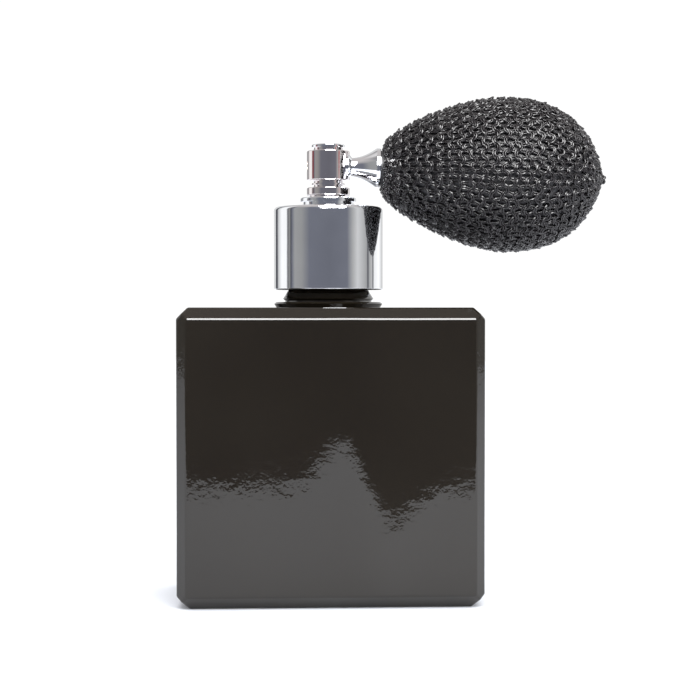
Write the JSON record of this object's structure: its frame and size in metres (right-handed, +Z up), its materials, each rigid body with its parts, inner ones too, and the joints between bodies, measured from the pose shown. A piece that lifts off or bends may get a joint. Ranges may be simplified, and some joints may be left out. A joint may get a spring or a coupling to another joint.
{
  "type": "perfume atomizer bottle",
  "caption": "Square black glass perfume flask with a screw-on chrome atomizer head that swivels and is worked by a knit-covered squeeze bulb.",
  "frame": {"origin": "middle of the flask's base, on the surface it stands on, under the neck's axis", "axes": "+Z up along the neck, +X from the neck towards the squeeze bulb, -X the way the spray leaves, -Y towards the viewer of the broad front face"},
  "size_m": [0.0869, 0.034, 0.1015],
  "materials": {
    "black_glass": "polished opaque black",
    "collar_chrome": "polished",
    "insert_plastic": "moulded",
    "gasket_foam": "soft foam sheet",
    "plug_plastic": "moulded",
    "washer_chrome": "polished",
    "head_chrome": "polished",
    "cap_chrome": "polished",
    "o_ring_rubber": "moulded",
    "clip_steel": "spring steel",
    "tube_plastic": "extruded, milky",
    "jet_steel": "drawn tube",
    "nozzle_brass": "machined",
    "saddle_chrome": "polished",
    "trumpet_chrome": "polished",
    "seal_rubber": "die cut",
    "connector_brass": "machined",
    "outlet_ball_steel": "ground ball",
    "outlet_cage_brass": "machined",
    "bulb_rubber": "moulded",
    "clamp_aluminium": "rolled band",
    "knit_fabric": "glossy black knitted cord",
    "hem_fabric": "black cord",
    "knot_fabric": "black cord, knotted",
    "intake_brass": "machined",
    "intake_ball_steel": "ground ball",
    "intake_cage_brass": "machined"
  },
  "bodies": {
    "bottle": {"glass_bottle": "black_glass"},
    "plug": {"neck_plug": "plug_plastic", "neck_gasket": "gasket_foam"},
    "collar": {"collar_shell": "collar_chrome", "threaded_insert": "insert_plastic"},
    "head": {"head_body": "head_chrome", "head_cap": "cap_chrome", "head_o_ring": "o_ring_rubber", "retaining_clip": "clip_steel", "swivel_washer": "washer_chrome", "dip_tube": "tube_plastic", "liquid_jet": "jet_steel", "nozzle_insert": "nozzle_brass", "stem_washer": "saddle_chrome", "bulb_trumpet": "trumpet_chrome", "connector_seal": "seal_rubber", "bulb_connector": "connector_brass", "outlet_ball_cage": "outlet_cage_brass", "rubber_bulb": "bulb_rubber", "neck_clamp": "clamp_aluminium", "knit_cover": "knit_fabric", "hem_cord": "hem_fabric", "tail_knot": "knot_fabric", "intake_valve_body": "intake_brass", "intake_ball_cage": "intake_cage_brass"},
    "outlet_valve": {"outlet_ball": "outlet_ball_steel"},
    "intake_valve": {"intake_ball": "intake_ball_steel"}
  },
  "joints": [
    {"name": "plug_lift", "type": "slide", "parent": "bottle", "child": "plug", "axis": [0, 0, 1], "range_m": [0, 0.00476]},
    {"name": "collar_turn", "type": "hinge", "parent": "plug", "child": "collar", "pos_m": [0, 0, 0.0704], "axis": [0, 0, 1], "range_deg": [0, 540]},
    {"name": "head_swivel", "type": "hinge", "parent": "plug", "child": "head", "pos_m": [0, 0, 0.0813], "axis": [0, 0, 1], "continuous": true},
    {"name": "outlet_ball_lift", "type": "slide", "parent": "head", "child": "outlet_valve", "axis": [-0.999, 0, 0.0436], "range_m": [0, 0.0007]},
    {"name": "intake_ball_lift", "type": "slide", "parent": "head", "child": "intake_valve", "axis": [-0.999, 0, 0.0436], "range_m": [0, 0.0007]}
  ],
  "couplings": [
    {"joint": "collar_turn", "follows": "plug_lift", "rad_per_m": 1979}
  ]
}
